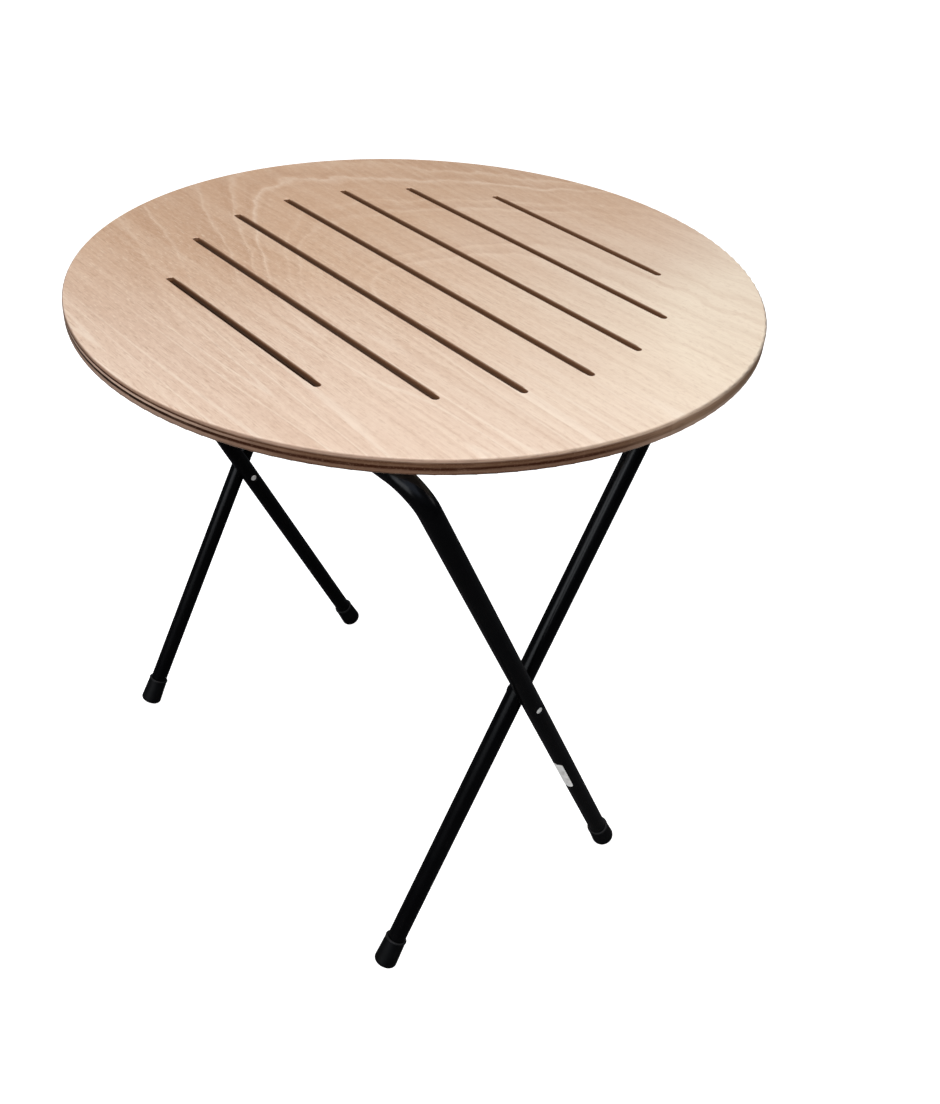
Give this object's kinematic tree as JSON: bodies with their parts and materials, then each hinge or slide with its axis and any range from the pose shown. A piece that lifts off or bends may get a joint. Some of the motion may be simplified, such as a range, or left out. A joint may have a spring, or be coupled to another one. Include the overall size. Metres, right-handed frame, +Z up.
{
  "type": "round folding table",
  "caption": "Round plywood table top with drainage slots, on two crossed bent-tube frames that fold flat beneath it.",
  "frame": {"origin": "on the floor, under the middle of the round top", "axes": "+Z up, +X along the drainage slots, -Y towards the bar on which the hinge frame turns"},
  "size_m": [0.7, 0.7, 0.705],
  "materials": {
    "plywood": "clear satin varnish",
    "black_paint": "satin black powder coat",
    "rubber": "matte black",
    "zinc": "zinc plated",
    "nylon": "moulded black"
  },
  "bodies": {
    "table_top": {"table_top": "plywood", "hinge_block_left": "nylon", "hinge_block_right": "nylon", "catch_clip_left": "nylon", "catch_clip_right": "nylon", "block_screw_left_1": "zinc", "block_screw_left_2": "zinc", "block_screw_right_1": "zinc", "block_screw_right_2": "zinc", "clip_screw_left_1": "zinc", "clip_screw_left_2": "zinc", "clip_screw_right_1": "zinc", "clip_screw_right_2": "zinc"},
    "hinge_frame": {"hinge_frame": "black_paint", "hinge_foot_cap_left": "rubber", "hinge_foot_cap_right": "rubber", "pivot_rivet_left": "zinc", "pivot_rivet_right": "zinc", "pivot_spacer_left": "nylon", "pivot_spacer_right": "nylon"},
    "catch_frame": {"catch_frame": "black_paint", "catch_foot_cap_left": "rubber", "catch_foot_cap_right": "rubber"}
  },
  "joints": [
    {"name": "fold", "type": "hinge", "parent": "table_top", "child": "hinge_frame", "pos_m": [0.00499, -0.21994, 0.6767], "axis": [0.9997, 0.0227, 0], "range_deg": [0, 61]},
    {"name": "frame_pivot", "type": "hinge", "parent": "hinge_frame", "child": "catch_frame", "pos_m": [0.00106, -0.04656, 0.33634], "axis": [0.9997, 0.0227, 0], "range_deg": [-122, 0]}
  ],
  "couplings": [
    {"joint": "frame_pivot", "follows": "fold", "ratio": -2}
  ]
}
